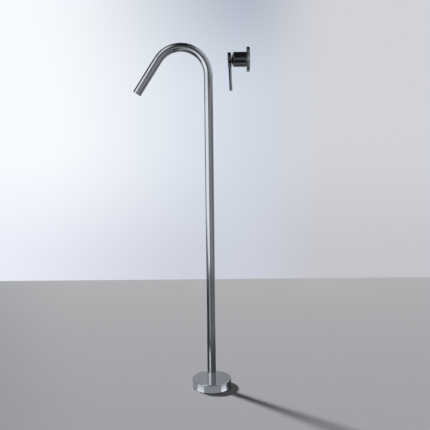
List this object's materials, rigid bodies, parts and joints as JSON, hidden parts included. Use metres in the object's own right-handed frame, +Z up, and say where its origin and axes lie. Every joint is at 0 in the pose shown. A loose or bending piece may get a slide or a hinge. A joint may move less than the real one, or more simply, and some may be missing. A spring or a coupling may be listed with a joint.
{
  "type": "floor-standing basin mixer",
  "caption": "Tall bent tube spout on a round floor base, with a separate single-lever mixing control on a round rosette, for filling a basin or bath.",
  "frame": {"origin": "on the floor, at the centre of the floor bolt pattern and on the axis of the spout column", "axes": "+Z up along the column; +X from the column towards the surface that carries the control, so the spout points to -X; the control stands on the -Y side of the column"},
  "size_m": [0.3624, 0.288, 1.1299],
  "materials": {
    "chrome": "polished",
    "steel": "satin",
    "brass": "machined",
    "plated_brass": "satin nickel plate",
    "rubber": "matte",
    "plastic": "matte",
    "ceramic": "polished"
  },
  "bodies": {
    "root": {"base_gasket": "rubber", "base_plate": "steel", "column_foot": "brass", "foot_screws": "steel", "spout_tube": "chrome", "hose_tail": "brass", "inner_hose": "plastic", "lower_crimp": "steel", "upper_crimp": "steel", "outlet_insert": "brass", "aerator_washer": "rubber", "aerator_screen": "steel", "aerator_cage": "plastic", "mixing_body": "plated_brass", "rosette_gasket": "rubber", "control_rosette": "chrome", "rosette_ring": "rubber", "control_sleeve": "chrome", "sleeve_rings": "rubber", "dome_ring": "chrome", "cartridge_seals": "rubber", "cartridge_base": "plastic", "fixed_disc": "ceramic", "cartridge_housing": "plastic", "retaining_nut": "brass"},
    "cover": {"base_cover": "chrome", "cover_ring": "rubber"},
    "turn": {"cartridge_rotor": "plastic", "pivot_pin": "steel"},
    "lever": {"lever_stem": "plated_brass", "lever_hub": "chrome", "lever_pin": "chrome", "grub_screw": "steel", "screw_plug": "chrome"},
    "disc": {"moving_disc": "ceramic", "disc_driver": "plastic"}
  },
  "joints": [
    {"name": "cover_lift", "type": "slide", "parent": "root", "child": "cover", "axis": [0, 0, 1], "range_m": [0, 0.95]},
    {"name": "temperature", "type": "hinge", "parent": "root", "child": "turn", "pos_m": [0.0866, -0.188, 1.044], "axis": [1, 0, 0], "range_deg": [-50, 50]},
    {"name": "flow", "type": "hinge", "parent": "turn", "child": "lever", "pos_m": [0.0866, -0.188, 1.044], "axis": [0, 1, 0], "range_deg": [0, 20]},
    {"name": "disc_slide", "type": "slide", "parent": "turn", "child": "disc", "axis": [0, 0, 1], "range_m": [-0.0032, 0]}
  ],
  "couplings": [
    {"joint": "disc_slide", "follows": "flow", "m_per_rad": -0.009}
  ]
}
